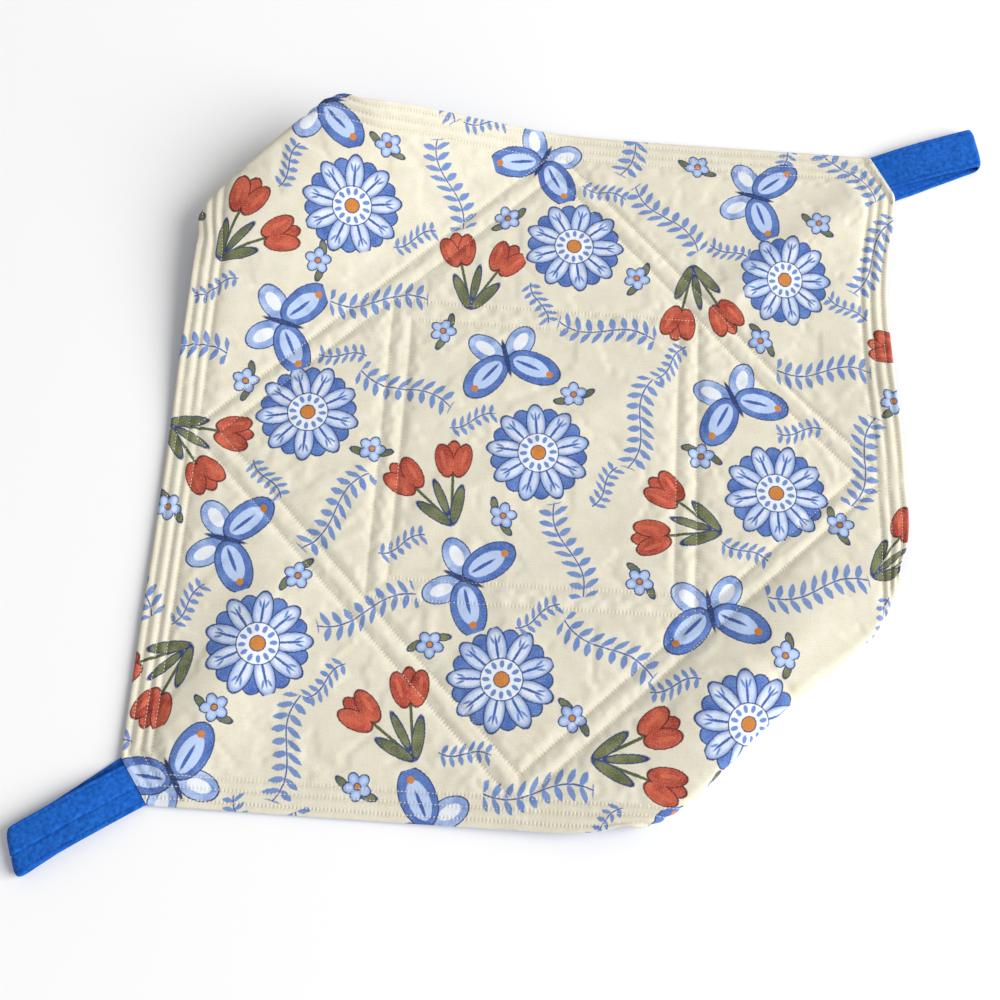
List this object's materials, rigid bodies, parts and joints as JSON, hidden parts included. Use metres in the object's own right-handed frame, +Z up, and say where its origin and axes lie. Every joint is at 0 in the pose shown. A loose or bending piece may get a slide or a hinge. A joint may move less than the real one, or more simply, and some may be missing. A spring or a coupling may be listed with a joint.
{
  "type": "casserole carrier",
  "caption": "Square quilted fabric carrier for a hot dish, with strap loops at two opposite corners and the other corners folded under.",
  "frame": {"origin": "centre of the pad's underside, on the table", "axes": "+X along the diagonal to the right handle corner, +Y along the diagonal to the back plain corner, +Z up out of the printed cover"},
  "size_m": [0.766, 0.4792, 0.0452],
  "materials": {
    "cover": "printed cotton",
    "cotton_batting": "cotton wadding",
    "heat_batting": "needled heat-resistant wadding",
    "lining": "plain cotton",
    "strap": "topstitched cotton",
    "strap_core": "interfacing"
  },
  "bodies": {
    "centre": {"cover_centre": "cover", "cotton_batting_centre": "cotton_batting", "heat_batting_centre": "heat_batting", "lining_centre": "lining"},
    "right_flap": {"cover_right_flap": "cover", "cotton_batting_right_flap": "cotton_batting", "heat_batting_right_flap": "heat_batting", "lining_right_flap": "lining", "right_handle_upper_end": "strap", "right_handle_lower_end": "strap"},
    "left_flap": {"cover_left_flap": "cover", "cotton_batting_left_flap": "cotton_batting", "heat_batting_left_flap": "heat_batting", "lining_left_flap": "lining", "left_handle_upper_end": "strap", "left_handle_lower_end": "strap"},
    "back_flap": {"cover_back_flap": "cover", "cotton_batting_back_flap": "cotton_batting", "heat_batting_back_flap": "heat_batting", "lining_back_flap": "lining"},
    "front_flap": {"cover_front_flap": "cover", "cotton_batting_front_flap": "cotton_batting", "heat_batting_front_flap": "heat_batting", "lining_front_flap": "lining"},
    "back_corner": {"cover_back_corner": "cover", "cotton_batting_back_corner": "cotton_batting", "heat_batting_back_corner": "heat_batting", "lining_back_corner": "lining"},
    "front_corner": {"cover_front_corner": "cover", "cotton_batting_front_corner": "cotton_batting", "heat_batting_front_corner": "heat_batting", "lining_front_corner": "lining"},
    "right_handle": {"right_handle_sleeve": "strap", "right_handle_core": "strap_core"},
    "left_handle": {"left_handle_sleeve": "strap", "left_handle_core": "strap_core"}
  },
  "joints": [
    {"name": "right_flap_fold", "type": "hinge", "parent": "centre", "child": "right_flap", "pos_m": [0.16157, 0, 0.0053], "axis": [0, -1, 0], "range_deg": [0, 120]},
    {"name": "left_flap_fold", "type": "hinge", "parent": "centre", "child": "left_flap", "pos_m": [-0.16157, 0, 0.0053], "axis": [0, 1, 0], "range_deg": [0, 120]},
    {"name": "back_flap_fold", "type": "hinge", "parent": "centre", "child": "back_flap", "pos_m": [0, 0.16157, 0.0053], "axis": [1, 0, 0], "range_deg": [0, 110]},
    {"name": "front_flap_fold", "type": "hinge", "parent": "centre", "child": "front_flap", "pos_m": [0, -0.16157, 0.011], "axis": [-1, 0, 0], "range_deg": [0, 110]},
    {"name": "back_corner_fold", "type": "hinge", "parent": "back_flap", "child": "back_corner", "pos_m": [0, 0.26104, 0.023], "axis": [0.9576, -0.0649, 0.2807], "range_deg": [0, 140]},
    {"name": "front_corner_fold", "type": "hinge", "parent": "front_flap", "child": "front_corner", "pos_m": [0, -0.21096, 0.0115], "axis": [-0.9997, 0.0048, 0.0225], "range_deg": [0, 150]},
    {"name": "right_handle_swing", "type": "hinge", "parent": "right_flap", "child": "right_handle", "pos_m": [0.30561, -0.00405, 0.0053], "axis": [-0.225, -0.9744, 0], "range_deg": [0, 150]},
    {"name": "left_handle_swing", "type": "hinge", "parent": "left_flap", "child": "left_handle", "pos_m": [-0.30686, 0.00267, 0.0053], "axis": [0.1616, 0.9869, 0], "range_deg": [0, 150]}
  ]
}
